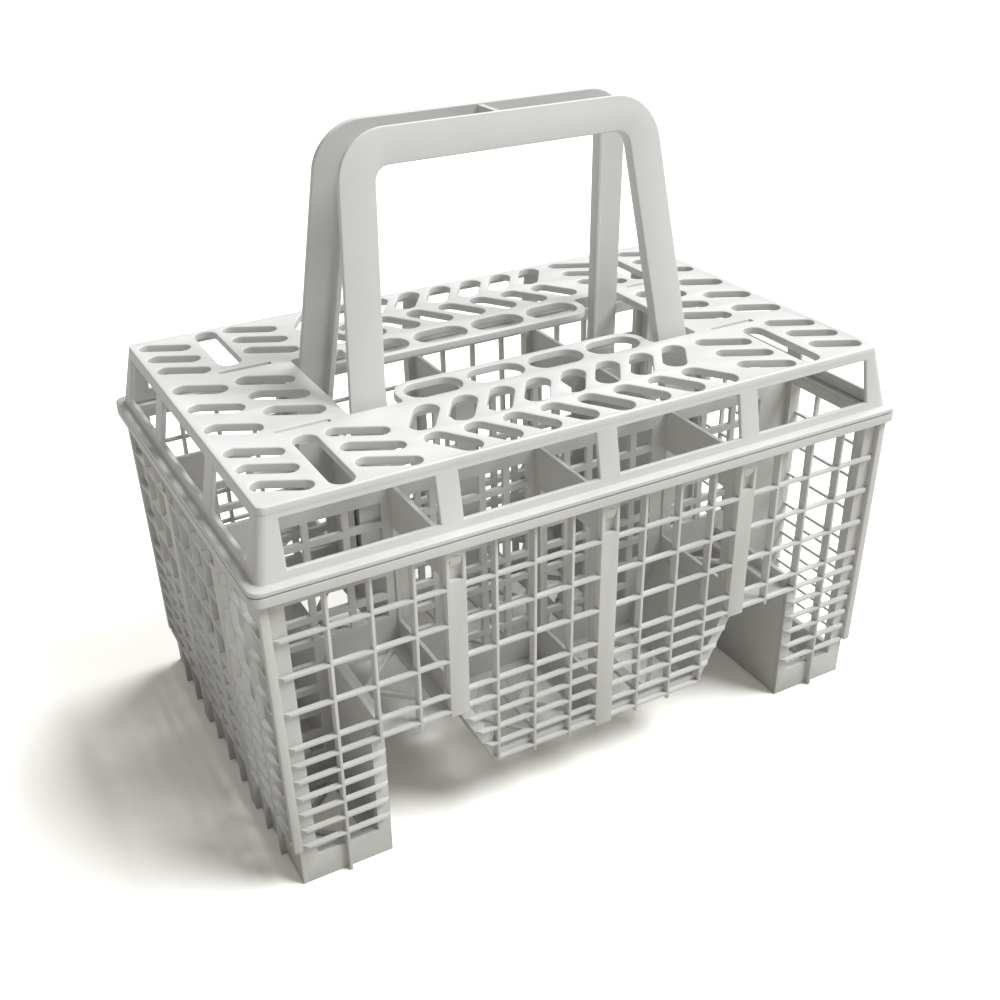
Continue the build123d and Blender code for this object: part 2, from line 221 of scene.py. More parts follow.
# tub: floors, dividers and rim of the solid, inside the panels and the lattice made below
tub = {
    "edge": 0.22,
    "segments": 2,
    "angle": 35.0,
    "halfLength": 117.5,
    "halfWidth": 75.0,
    "wallTop": 112.0,
    "draft": 1.0,
    "cutDepth": 3.45,        # the solid is kept from this far behind the faces of the ribs
    "rimRoom": 4.85,         # the rim lies within this of the faces of the ribs
    "innerWall": 1.4,
    "channelRoof": 48.0,
    "bellyBottom": 21.0,
    "bellyHalf": 42.5,
    "postPitch": 55.8,
    "footInner": 82.0,
    "floor": 1.8,
    "innerWallY": 27.3,
    "socket": {"x": (54.0, 70.0), "y": (20.0, 29.0), "low": 84.0},
    "wallRoom": 2.8,         # edges this near an inner wall stay sharp
    "cutRoom": 5.0,          # and so do edges this near the faces of the ribs
    "rimFrom": 0.5,          # the rim's edges are rounded from this far above the walls
    "overlap": 0.01,         # of the rim and the rest of the tub
    "lowEnd": 0.5,           # what lies within this of a bar's foot is its lower end
    "slack": 0.05,
}


# openings in the dividers, beside the inner walls
dividers = {
    "edge": 0.2,
    "segments": 2,
    "thickness": 1.5,
    "sills": {-1: 58.7, 0: 37.7, 1: 58.7},
    "top": 96.0,
    "near": {0: 31.3, 1: 28.8},
    "far": 63.9,
    "border": 1.2,           # width of the frame that lines an opening
    "proud": 0.02,
    "kerb": (82.05, 83.75),
    "kerbFrom": 28.2,
    "kerbTop": 54.2,
    "kerbSeat": 0.1,         # the kerbs go this far into the backs of the panels
}


def wallFace(half, depth, z):
    return half - depth - (tub["wallTop"] - z) * tan(radians(tub["draft"]))


def clearOfWalls(place):
    x, y, z = (abs(v) for v in place)
    s = tub["socket"]
    inSocket = s["x"][0] < x < s["x"][1] and s["y"][0] < y < s["y"][1] and z > s["low"]
    atInnerWall = abs(y - tub["innerWallY"]) < tub["wallRoom"]
    atEnd = x > wallFace(tub["halfLength"], tub["cutRoom"], z)
    atSide = y > wallFace(tub["halfWidth"], tub["cutRoom"], z)
    return not (inSocket or atInnerWall or atEnd or atSide)


def openDividers(piece, d):
    for k, sill in d["sills"].items():
        x, near = k * tub["postPitch"], d["near"][abs(k)]

        def onDivider(face):
            onFace = abs(face.center.x / mm - x) < d["thickness"] / 2 + tub["slack"]
            return onFace and abs(face.normal.x) > 0.9

        def inOpening(face):
            y, z = abs(face.center.y) / mm, face.center.z / mm
            return onDivider(face) and near < y < d["far"] and sill < z < d["top"]

        planes = [((0, 0, z), (0, 0, 1)) for z in (sill, d["top"])]
        planes += [((0, y, 0), (0, 1, 0)) for y in (-d["far"], -near, near, d["far"])]
        for point, direction in planes:
            selectFaces(piece, onDivider)
            bpy.ops.mesh.bisect(plane_co=[v * mm for v in point], plane_no=direction, threshold=cutWithin)
            bpy.ops.object.mode_set(mode="OBJECT")
        selectFaces(piece, inOpening)
        bpy.ops.mesh.delete(type="FACE")
        bpy.ops.object.mode_set(mode="OBJECT")


def makeTub(t):
    top = t["wallTop"]

    def insideRim(places):
        x, y = (t[half] - t["rimRoom"] for half in ("halfLength", "halfWidth"))
        return all(abs(p.x) < x and abs(p.y) < y and p.z < top + 2 * t["overlap"] for p in places)

    def inInnerWall(places):
        room, middle = t["innerWall"] / 2 + t["slack"], t["innerWallY"]
        return any(all(abs(p.y - y) < room for p in places) for y in (-middle, middle))

    rim = mergedCopy("basket_body", "rim", [((0, 0, top - t["overlap"]), (0, 0, -1))], insideRim)
    c, s = cos(radians(t["draft"])), sin(radians(t["draft"]))
    cuts = [((0, 0, top + t["overlap"]), (0, 0, 1))]
    for side in (-1, 1):
        cuts.append(((0, side * (t["halfWidth"] - t["cutDepth"]), top), (0, side * c, -s)))
        cuts.append(((side * (t["halfLength"] - t["cutDepth"]), 0, top), (side * c, 0, -s)))
    core = mergedCopy("basket_body", "lattice_tub", cuts, inInnerWall)
    openDividers(core, dividers)
    softenEdges(core, t, clearOfWalls)
    softenEdges(rim, t, lambda place: place.z > top + t["rimFrom"])
    return joinAll([core, rim], "lattice_tub")


finishPiece(makeTub(tub), bodyPlastic, "body_plastic", "basket_body")


def slantX(z, inset=0.0):
    run, rise = tub["postPitch"] - tub["bellyHalf"], tub["channelRoof"] - tub["bellyBottom"]
    return tub["bellyHalf"] + (z - tub["bellyBottom"]) * run / rise - inset * hypot(run, rise) / rise


def outlinePiece(loops, depth, look, name):
    # a plate over closed outlines, the first one round the rest, with all its edges rounded
    curve = bpy.data.curves.new(name, "CURVE")
    curve.dimensions = "2D"
    curve.fill_mode = "BOTH"
    curve.extrude = (depth / 2 - look["edge"]) * mm
    curve.bevel_depth = look["edge"] * mm
    curve.bevel_resolution = look["segments"] - 1
    curve.offset = -look["edge"] * mm
    for loop in loops:
        spline = curve.splines.new("POLY")
        spline.points.add(len(loop) - 1)
        for point, (u, v) in zip(spline.points, loop):
            point.co = (u * mm, v * mm, 0, 1)
        spline.use_cyclic_u = True
    piece = bpy.data.objects.new(name, curve)
    bpy.context.scene.collection.objects.link(piece)
    piece.location.z = depth / 2 * mm
    makeActive(piece)
    bpy.ops.object.convert(target="MESH")
    bpy.ops.object.transform_apply(location=True, rotation=True, scale=True)
    return bpy.context.object


def cleanPiece(piece, angle):
    makeActive(piece)
    bpy.ops.object.mode_set(mode="EDIT")
    bpy.ops.mesh.select_all(action="SELECT")
    bpy.ops.mesh.remove_doubles(threshold=mergeWithin)
    bpy.ops.mesh.normals_make_consistent(inside=False)
    bpy.ops.object.mode_set(mode="OBJECT")
    bpy.ops.object.shade_smooth_by_angle(angle=radians(angle))
    return piece


def standOnWall(piece, axis, side, front):
    # brings a plate drawn flat on to a drafted wall, its front this far behind the faces of the ribs
    half = tub["halfWidth"] if axis == 1 else tub["halfLength"]
    for vertex in piece.data.vertices:
        u, v, w = vertex.co / mm
        out = side * wallFace(half, front + w, v)
        vertex.co = Vector((u, out, v) if axis == 1 else (out, u, v)) * mm
    return cleanPiece(piece, tub["angle"])


def mirrored(loop):
    return [(-u, v) for u, v in reversed(loop)]


# panels: the frames that show beside the lattice, and the posts with the windows of the hooks
panels = {
    "edge": 0.2,
    "segments": 2,
    "front": 1.9,            # how far the panels lie behind the faces of the ribs
    "back": 3.5,
    "side": 1.9,             # the panels end this far inside the corners
    "spare": 0.04,           # their windows are this much smaller than the solid's
    "top": 110.0,
    "skirt": 10.5,
    "corner": 6.0,
    "footFrame": 4.5,
    "bellySkirt": 4.5,
    "slantFrame": 4.0,
    "postWidth": 6.8,
    "endPostWidth": 6.0,
    "postLows": {0: 21.0, 1: 48.0},
    "hookHalf": 2.2,
    "hookLow": 99.8,
    "hookHigh": 108.8,
    "hookArch": 2.1,
    "archSteps": 8,
    "cornerPost": 2.8,
    "cornerLow": 15.9,
}


def longPanelLoops(p):
    t = tub
    right = [
        (t["bellyHalf"], t["bellyBottom"]),
        (t["postPitch"], t["channelRoof"]),
        (t["footInner"], t["channelRoof"]),
        (t["footInner"], 0),
        (wallFace(t["halfLength"], p["side"], 0), 0),
        (wallFace(t["halfLength"], p["side"], t["wallTop"]), t["wallTop"]),
    ]
    post = p["postWidth"] / 2 - p["spare"]
    sill = t["channelRoof"] + t["floor"] + p["spare"]
    foot = t["footInner"] + p["footFrame"] + p["spare"]
    skirt, top = p["skirt"] + p["spare"], p["top"] - p["spare"]
    cornerLow, cornerHigh = (
        wallFace(t["halfLength"], p["side"] + p["corner"] + p["spare"], z) for z in (skirt, top)
    )
    pitch = t["postPitch"]
    endBay = [(pitch + post, sill), (foot, sill), (foot, skirt)]
    endBay += [(cornerLow, skirt), (cornerHigh, top), (pitch + post, top)]
    low = t["bellyBottom"] + p["bellySkirt"] + p["spare"]
    slantFrame = p["slantFrame"] + p["spare"]
    slope = slantX(1) - slantX(0)
    bayEnd = pitch - post
    slantEnd = low + (bayEnd - slantX(low, slantFrame)) / slope
    middleBay = [(post, low), (slantX(low, slantFrame), low)]
    middleBay += [(bayEnd, slantEnd), (bayEnd, top), (post, top)]
    return [right + mirrored(right), endBay, middleBay, mirrored(endBay), mirrored(middleBay)]


def endPanelLoops(p):
    low, high = (wallFace(tub["halfWidth"], p["side"], z) for z in (0, tub["wallTop"]))
    outline = [(-low, 0), (low, 0), (high, tub["wallTop"]), (-high, tub["wallTop"])]
    skirt, top = p["skirt"] + p["spare"], p["top"] - p["spare"]
    edge = wallFace(tub["halfWidth"], p["side"] + p["corner"], skirt)
    post = tub["innerWallY"] - p["endPostWidth"] / 2 + p["spare"]
    outer = (tub["innerWallY"] + p["endPostWidth"] / 2 - p["spare"], edge - p["spare"])
    windows = [(-post, post), outer, (-outer[1], -outer[0])]
    return [outline] + [[(a, skirt), (b, skirt), (b, top), (a, top)] for a, b in windows]


def postLoops(middle, width, low, p):
    high = tub["wallTop"]
    outline = [(middle + e * width / 2, z) for e, z in ((-1, low), (1, low), (1, high), (-1, high))]
    h, r = p["hookHalf"], p["hookArch"]
    window = [(middle - h, p["hookLow"]), (middle + h, p["hookLow"])]
    for k in range(p["archSteps"] + 1):
        turn = radians(180 * k / p["archSteps"])
        centre = middle + h - r if k <= p["archSteps"] / 2 else middle - h + r
        window.append((centre + r * cos(turn), p["hookHigh"] - r + r * sin(turn)))
    return [outline, window]


def makePanels(p):
    pieces = []
    depth = p["back"] - p["front"]
    for side in (-1, 1):
        panel = outlinePiece(longPanelLoops(p), depth, p, "panel")
        pieces.append(standOnWall(panel, 1, side, p["front"]))
        panel = outlinePiece(endPanelLoops(p), depth, p, "panel")
        pieces.append(standOnWall(panel, 0, side, p["front"]))
        for k in (-1, 0, 1):
            loops = postLoops(k * tub["postPitch"], p["postWidth"], p["postLows"][abs(k)], p)
            pieces.append(standOnWall(outlinePiece(loops, p["back"], p, "post"), 1, side, 0))
        for k in (-1, 1):
            loops = postLoops(k * tub["innerWallY"], p["endPostWidth"], 0, p)
            pieces.append(standOnWall(outlinePiece(loops, p["back"], p, "post"), 0, side, 0))
    return joinAll(pieces, "wall_panels")


def leanIn(bar, low, shift):
    # the lower end of a bar moves in with the draft of its wall
    makeActive(bar)
    bpy.ops.object.mode_set(mode="EDIT")
    bpy.ops.mesh.select_all(action="DESELECT")
    bpy.ops.object.mode_set(mode="OBJECT")
    for vertex in bar.data.vertices:
        vertex.select = vertex.co.z < (low + tub["lowEnd"]) * mm
    bpy.ops.object.mode_set(mode="EDIT")
    bpy.ops.mesh.select_mode(type="VERT")
    bpy.ops.transform.translate(value=[v * mm for v in shift])
    bpy.ops.object.mode_set(mode="OBJECT")


def makeCornerPosts(p):
    # drafted both ways
    bars = []
    for sx in (-1, 1):
        for sy in (-1, 1):
            x = sorted((sx * (tub["halfLength"] - p["cornerPost"]), sx * tub["halfLength"]))
            y = sorted((sy * (tub["halfWidth"] - p["cornerPost"]), sy * tub["halfWidth"]))
            bar = boxAt((x[0], y[0], p["cornerLow"]), (x[1], y[1], tub["wallTop"]), "corner")
            shift = (tub["wallTop"] - p["cornerLow"]) * tan(radians(tub["draft"]))
            leanIn(bar, p["cornerLow"], (-sx * shift, -sy * shift, 0))
            bars.append(bar)
    piece = joinAll(bars, "corner_posts")
    softenEdges(piece, dict(p, angle=tub["angle"]))
    return piece


# ribs and slats, flush with one another
lattice = {
    "edge": 0.16,
    "segments": 2,
    "angle": 35.0,
    "ribDepth": 3.3,
    "endRibDepth": 2.0,
    "ribWidth": 1.05,
    "ribPitch": 13.95,
    "ribLows": {1: 21.0, 2: 21.0, 3: 22.6, 5: 48.0, 6: 48.0, 7: 0.0},
    "endRibPitch": 13.65,
    "endRibs": (-4, -3, -1, 0, 1, 3, 4),
    "slatDepth": 1.96,
    "slatSet": 0.06,         # the slats' front edges lie this far behind the ribs'
    "slatHeight": 1.12,
    "firstSlat": 17.08,
    "slatPitch": 6.72,
    "slatSteps": (0, 1, 2, 3, 4, 5, 6, 8, 10, 12),
    "slatChamfer": 1.7,      # off the front corners at both ends of a slat
    "slatEnd": 2.9,          # the slats end this far inside the corners
}


def makeRibs(look):
    bars = []
    top, half = tub["wallTop"], look["ribWidth"] / 2
    for side in (-1, 1):
        y = sorted((side * tub["halfWidth"], side * (tub["halfWidth"] - look["ribDepth"])))
        for k, low in look["ribLows"].items():
            for x in (-k * look["ribPitch"], k * look["ribPitch"]):
                bar = boxAt((x - half, y[0], low), (x + half, y[1], top), "rib")
                leanIn(bar, low, (0, -side * (top - low) * tan(radians(tub["draft"])), 0))
                bars.append(bar)
        x = sorted((side * tub["halfLength"], side * (tub["halfLength"] - look["endRibDepth"])))
        for k in look["endRibs"]:
            y = k * look["endRibPitch"]
            bar = boxAt((x[0], y - half, 0), (x[1], y + half, top), "rib")
            leanIn(bar, 0, (-side * top * tan(radians(tub["draft"])), 0, 0))
            bars.append(bar)
    piece = joinAll(bars, "wall_ribs")
    softenEdges(piece, look)
    return piece


def slatSpans(low):
    # stretches of a long wall that have a slat at a height
    end = wallFace(tub["halfLength"], lattice["slatEnd"], low)
    if low > tub["channelRoof"]:
        return [(-end, end)]
    spans = [(-end, -tub["footInner"]), (tub["footInner"], end)]
    if low > tub["bellyBottom"]:
        spans.append((-slantX(low), slantX(low)))
    return spans


def slatAt(low, high, axis, side, chamfer):
    # a bar whose two upright edges on its outer side are cut off
    bar = boxAt(low, high, "slat")
    bpy.ops.object.mode_set(mode="EDIT")
    bpy.ops.mesh.select_all(action="DESELECT")
    bpy.ops.object.mode_set(mode="OBJECT")
    middle = (low[axis] + high[axis]) / 2 * mm
    for edge in bar.data.edges:
        a, b = (bar.data.vertices[v].co for v in edge.vertices)
        edge.select = abs(a.z - b.z) > (high[2] - low[2]) / 2 * mm and (a[axis] - middle) * side > 0
    bpy.ops.object.mode_set(mode="EDIT")
    bpy.ops.mesh.select_mode(type="EDGE")
    bpy.ops.mesh.bevel(offset=chamfer * mm, segments=1, affect="EDGES")
    bpy.ops.object.mode_set(mode="OBJECT")
    return bar


def makeSlats(look):
    bars = []
    for step in look["slatSteps"]:
        high = look["firstSlat"] + step * look["slatPitch"]
        low = high - look["slatHeight"]
        depths = (look["slatSet"], look["slatDepth"])
        outY, inY = (wallFace(tub["halfWidth"], depth, high) for depth in depths)
        outX, inX = (wallFace(tub["halfLength"], depth, high) for depth in depths)
        end = wallFace(tub["halfWidth"], look["slatEnd"], low)
        for side in (-1, 1):
            y = sorted((side * outY, side * inY))
            for x in slatSpans(low):
                bars.append(slatAt((x[0], y[0], low), (x[1], y[1], high), 1, side, look["slatChamfer"]))
            x = sorted((side * outX, side * inX))
            bars.append(slatAt((x[0], -end, low), (x[1], end, high), 0, side, look["slatChamfer"]))
    piece = joinAll(bars, "wall_slats")
    softenEdges(piece, look)
    return piece


finishPiece(makePanels(panels), bodyPlastic, "body_plastic")
finishPiece(makeCornerPosts(panels), bodyPlastic, "body_plastic")
finishPiece(makeRibs(lattice), bodyPlastic, "body_plastic")
finishPiece(makeSlats(lattice), bodyPlastic, "body_plastic")

# the two inner walls, with rows of small square windows and plain parts at the handle's sockets
innerWalls = {
    "edge": 0.25,
    "segments": 2,
    "thickness": 1.9,
    "window": 6.9,
    "endWindow": 11.6,
    "pitch": 9.5,
    "lowest": 13.3,          # bottom of the lowest row of windows
    "rows": 10,
    "middleColumns": (7.6, 17.1, 26.6, 36.1, 45.6),
    "endColumns": (65.6, 79.55, 93.5),
    "sill": 9.5,             # plain part above the floor
    "seat": 0.9,             # how far the walls go into the floor
    "side": 4.2,
}


def floorTop(x):
    x = abs(x)
    if x > tub["footInner"] + tub["floor"]:
        return tub["floor"]
    if x > tub["postPitch"]:
        return tub["channelRoof"] + tub["floor"]
    slope = (tub["channelRoof"] - tub["bellyBottom"]) / (tub["postPitch"] - tub["bellyHalf"])
    return tub["bellyBottom"] + tub["floor"] + max(0, x - tub["bellyHalf"]) * slope


def innerWallLoops(w):
    t = tub
    right = [
        (t["bellyHalf"], t["bellyBottom"] + w["seat"]),
        (t["postPitch"], t["channelRoof"] + w["seat"]),
        (t["footInner"] + w["seat"], t["channelRoof"] + w["seat"]),
        (t["footInner"] + w["seat"], w["seat"]),
        (wallFace(t["halfLength"], w["side"], 0), w["seat"]),
        (wallFace(t["halfLength"], w["side"], t["wallTop"]), t["wallTop"]),
    ]
    loops = [right + mirrored(right)]
    columns = [(x, w["window"] / 2) for x in w["middleColumns"]]
    columns += [(x, w["endWindow"] / 2) for x in w["endColumns"]]
    for x, half in columns:
        for k in range(w["rows"]):
            low = w["lowest"] + k * w["pitch"]
            if low < max(floorTop(x - half), floorTop(x + half)) + w["sill"]:
                continue
            high = low + w["window"]
            window = [(x - half, low), (x + half, low), (x + half, high), (x - half, high)]
            loops += [window, mirrored(window)]
    return loops


def makeInnerWalls(w):
    walls = []
    for side in (-1, 1):
        wall = outlinePiece(innerWallLoops(w), w["thickness"], w, "wall")
        for vertex in wall.data.vertices:
            u, v, depth = vertex.co
            vertex.co = (u, side * tub["innerWallY"] * mm + w["thickness"] / 2 * mm - depth, v)
        walls.append(cleanPiece(wall, tub["angle"]))
    return joinAll(walls, "inner_walls")


def makeDividerFrames(d):
    # linings of the openings in the dividers, and a kerb along the top of each foot's inner side
    pieces = []
    depth, border = d["thickness"] + 2 * d["proud"], d["border"]
    for k, sill in d["sills"].items():
        near = d["near"][abs(k)]
        corners = (
            (near, sill, -1, -1),
            (d["far"], sill, 1, -1),
            (d["far"], d["top"], 1, 1),
            (near, d["top"], -1, 1),
        )
        outer = [(u + a * border, v + b * border) for u, v, a, b in corners]
        for side in (-1, 1):
            lining = outlinePiece([outer, [(u, v) for u, v, a, b in corners]], depth, d, "lining")
            for vertex in lining.data.vertices:
                u, v, w = vertex.co / mm
                vertex.co = Vector((k * tub["postPitch"] + w - depth / 2, side * u, v)) * mm
            pieces.append(cleanPiece(lining, tub["angle"]))
    low = tub["channelRoof"] + tub["floor"] / 2
    far = wallFace(tub["halfWidth"], panels["back"] - d["kerbSeat"], low)
    for sx in (-1, 1):
        for sy in (-1, 1):
            x = sorted(sx * v for v in d["kerb"])
            y = sorted((sy * d["kerbFrom"], sy * far))
            kerb = boxAt((x[0], y[0], low), (x[1], y[1], d["kerbTop"]), "kerb")
            softenEdges(kerb, dict(d, angle=tub["angle"]))
            pieces.append(kerb)
    return joinAll(pieces, "divider_frames")


finishPiece(makeInnerWalls(innerWalls), bodyPlastic, "body_plastic")
finishPiece(makeDividerFrames(dividers), bodyPlastic, "body_plastic")

# braces that zigzag across the slots of the floors
floorBraces = {
    "edge": 0.2,
    "segments": 2,
    "angle": 35.0,
    "width": 1.7,
    "height": 1.5,
    "seat": 0.6,             # each brace goes this far into the floor at its ends
    "rows": ((-64.1, -31.3), (-23.3, 23.3), (31.3, 64.1)),
    "zones": ((4.75, 21.6, 21.0), (25.6, 38.5, 21.0), (60.55, 78.0, 48.0), (87.8, 106.6, 0.0)),
}


def brace(start, end, low, b):
    middle = [(p + q) / 2 * mm for p, q in zip(start, end)]
    run = [q - p for p, q in zip(start, end)]
    deselectAll()
    bpy.ops.mesh.primitive_cube_add(
        size=1,
        location=(*middle, (low + b["height"] / 2) * mm),
        rotation=(0, 0, atan2(run[1], run[0])),
        scale=((hypot(*run) + 2 * b["seat"]) * mm, b["width"] * mm, b["height"] * mm),
    )
    bpy.ops.object.transform_apply(location=True, rotation=True, scale=True)
    return bpy.context.object


def makeBraces(b):
    bars = []
    for nearX, farX, height in b["zones"]:
        low = height + (tub["floor"] - b["height"]) / 2
        for side in (-1, 1):
            for y0, y1 in b["rows"]:
                count = 2 * max(1, round((y1 - y0) / (farX - nearX) / 2))
                pitch = (y1 - y0) / count
                for k in range(count):
                    a, c = (nearX, farX) if k % 2 == 0 else (farX, nearX)
                    start, end = (side * a, y0 + k * pitch), (side * c, y0 + (k + 1) * pitch)
                    bars.append(brace(start, end, low, b))
    piece = joinAll(bars, "floor_braces")
    softenEdges(piece, b)
    return piece


finishPiece(makeBraces(floorBraces), bodyPlastic, "body_plastic")

# cover: the solid's rim and skirt under a plate drawn as an outline with round-ended slots
cover = {
    "top": 139.0,
    "plateBottom": 136.6,
    "parting": 115.0,
    "gap": 0.32,                 # the shadow gap between the two rims
    "gapFrom": (113.5, 71.0),
    "rimTop": 117.0,
    "rimHalf": (118.0, 75.5),    # outside this the rim's lower edge is rounded too
    "edge": 0.45,
    "segments": 3,
    "angle": 40.0,
    "halfLength": 113.02,
    "halfWidth": 70.52,
    "corner": 3.0,
    "lean": 10.5,
    "endSegments": 12,
    "edgeBand": 1.0,             # the plate's outside is what lies this near its outline
    "slack": 0.05,
    "opening": {"halfLength": 67.5, "halfWidth": 26.45, "corner": 1.2},
    "tongue": {"half": 48.6, "y": 11.98, "corner": 8.5},
    "slantAngle": 57.0,
    "endAngle": -28.0,
    "ovals": {"count": 4, "pitch": 23.5, "y": 20.9, "size": (20.5, 12.5)},
    "slants": {"count": 8, "pitch": 13.67, "rows": (40.2, 60.1), "size": (19.5, 8.2)},
    "outer": {"x": 102.2, "rows": (36.5, 48.5, 60.5), "size": (18.4, 6.2)},
    "inner": {"x": 70.0, "rows": (39.0, 50.7, 62.3), "size": (20.0, 6.2)},
    "middleOuter": {"x": 102.2, "rows": (0.0, 17.5), "size": (18.4, 7.4)},
    "middleInner": {"x": 81.0, "rows": (0.0, 14.0), "size": (20.0, 7.4)},
    "long": {"x": 86.0, "rows": (50.7,), "size": (36.2, 8.0)},
    "groove": {"x": 83.3, "y": 27.3, "size": (18.5, 2.2, 0.8)},
}


def arc(middle, radius, start, turn, count):
    angles = [radians(start + turn * k / count) for k in range(count + 1)]
    return [(middle[0] + radius * cos(a), middle[1] + radius * sin(a)) for a in angles]


def roundedRectangle(halfX, halfY, radius, count=6):
    points = []
    for quarter, (sx, sy) in enumerate(((1, 1), (-1, 1), (-1, -1), (1, -1))):
        points += arc((sx * (halfX - radius), sy * (halfY - radius)), radius, 90 * quarter, 90, count)
    return points


def roundSlot(x, y, size, angle, count):
    length, width = size
    ends = arc(((length - width) / 2, 0), width / 2, -90, 180, count)
    ends += arc(((width - length) / 2, 0), width / 2, 90, 180, count)
    turned = [Vector(p) @ Matrix.Rotation(radians(-angle), 2) for p in ends]
    return [(x + p.x, y + p.y) for p in turned]


def openingOutline(c):
    # one quarter of the opening, from its notch to the middle of the tongue, then its mirror images
    o, t = c["opening"], c["tongue"]
    notch = arc((o["halfLength"] - o["corner"], o["halfWidth"] - o["corner"]), o["corner"], 0, 90, 4)
    root = arc((t["half"] + o["corner"], o["halfWidth"] - o["corner"]), o["corner"], 90, 90, 4)
    lip = arc((t["half"] - t["corner"], t["y"] + t["corner"]), t["corner"], 0, -90, 10)
    quarter = notch + root + lip
    half = quarter + [(-x, y) for x, y in reversed(quarter)]
    return half + [(x, -y) for x, y in reversed(half)]


def slotOutlines(c):
    n = c["endSegments"]
    loops = []
    for side in (-1, 1):
        o, s = c["ovals"], c["slants"]
        for k in range(o["count"]):
            x = (k - (o["count"] - 1) / 2) * o["pitch"]
            loops.append(roundSlot(x, side * o["y"], o["size"], 0, n))
        for row, lean in zip(s["rows"], (-side, side)):
            for k in range(s["count"]):
                x = (k - (s["count"] - 1) / 2) * s["pitch"]
                loops.append(roundSlot(x, side * row, s["size"], lean * c["slantAngle"], n))
        for end in (-1, 1):
            for group in ("outer", "inner", "middleOuter", "middleInner", "long"):
                g = c[group]
                for row in g["rows"]:
                    if row == 0 and side < 0:
                        continue
                    angle = 90 if group == "long" else c["endAngle"]
                    loops.append(roundSlot(end * g["x"], side * row, g["size"], angle, n))
    return loops


def flare(c):
    # how much wider the plate is at its underside than at its top
    return (c["top"] - c["plateBottom"]) * tan(radians(c["lean"]))


def drawPlate(c):
    # the rounded lower edge of the plate's outside is sunk into the skirt
    depth = c["top"] - c["plateBottom"] + c["edge"]
    outline = roundedRectangle(c["halfLength"] + flare(c), c["halfWidth"] + flare(c), c["corner"])
    plate = outlinePiece([outline, openingOutline(c)] + slotOutlines(c), depth, c, "plate")
    for vertex in plate.data.vertices:
        vertex.co.z += (c["top"] - depth) * mm
        rise = max(0, vertex.co.z / mm - c["plateBottom"]) / (c["top"] - c["plateBottom"])
        for axis, half in ((0, c["halfLength"]), (1, c["halfWidth"])):
            if abs(vertex.co[axis]) > (half - c["edgeBand"]) * mm:
                vertex.co[axis] -= flare(c) * rise * mm * (1 if vertex.co[axis] > 0 else -1)
    return cleanPiece(plate, c["angle"])


def makeCover(c):
    skirt = mergedCopy("top_cover", "slotted_cover", [((0, 0, c["plateBottom"] - c["slack"]), (0, 0, 1))])

    for vertex in skirt.data.vertices:
        outside = abs(vertex.co.x) > c["gapFrom"][0] * mm or abs(vertex.co.y) > c["gapFrom"][1] * mm
        if outside and abs(vertex.co.z / mm - c["parting"]) < c["slack"]:
            vertex.co.z += c["gap"] * mm

    def roundHere(place):
        onRim = abs(place.x) > c["rimHalf"][0] or abs(place.y) > c["rimHalf"][1]
        room = 2 * c["slack"]
        return c["rimTop"] - room < place.z < c["plateBottom"] - room or onRim

    softenEdges(skirt, c, roundHere)
    plate = drawPlate(c)
    g = c["groove"]
    cutters = []
    for x in (-g["x"], g["x"]):
        for y in (-g["y"], g["y"]):
            low = (x - g["size"][0] / 2, y - g["size"][1] / 2, c["top"] - g["size"][2])
            high = (x + g["size"][0] / 2, y + g["size"][1] / 2, c["top"] + 1)
            cutters.append(boxAt(low, high, "groove"))
    cutter = joinAll(cutters, "grooves")
    carve = plate.modifiers.new("grooves", "BOOLEAN")
    carve.operation = "DIFFERENCE"
    carve.solver = "EXACT"
    carve.object = cutter
    applyModifiers(plate)
    bpy.data.objects.remove(cutter)
    makeActive(plate)
    bpy.ops.object.shade_smooth_by_angle(angle=radians(c["angle"]))
    print("plate", len(plate.data.polygons), "faces")
    return joinAll([skirt, plate], "slotted_cover")


finishPiece(makeCover(cover), coverPlastic, "cover_plastic", "top_cover")

# handle: the two bails with rounded edges above the cover
handle = {"edge": 0.45, "segments": 3, "angle": 30.0, "softFrom": 122.0, "webHalf": 2.0, "slack": 0.1}


def makeHandle(h):
    piece = mergedCopy("handle", "carrying_handle")
    bpy.ops.object.mode_set(mode="EDIT")
    bpy.ops.mesh.select_all(action="SELECT")
    bpy.ops.mesh.bisect(plane_co=(0, 0, h["softFrom"] * mm), plane_no=(0, 0, 1))
    bpy.ops.object.mode_set(mode="OBJECT")

    def clearOfWeb(place):
        return place.z > h["softFrom"] - h["slack"] and abs(place.x) > h["webHalf"]

    softenEdges(piece, h, clearOfWeb)
    return piece


finishPiece(makeHandle(handle), handlePlastic, "handle_plastic", "handle")

# floor and light: one soft lamp from the front right and one from the back right, so that the
# deep shadow is the wedge on the left that both leave dark
studio = {
    "floorSize": 16.0,
    "floorColour": (0.62, 0.61, 0.59),
    "bounceColour": (0.55, 0.54, 0.515),
    "lamps": {
        "frontLamp": {
            "strength": 2.65,
            "angle": 26.0,
            "from": (0.48, -0.41, 0.775),
            "colour": (0.985, 1.0, 1.0),
        },
        "backLamp": {
            "strength": 1.9,
            "angle": 26.0,
            "from": (0.514, 0.224, 0.828),
            "colour": (0.985, 1.0, 1.0),
        },
    },
    "skyStrength": 0.30,
    "skyColour": (1.0, 0.975, 0.93),
}


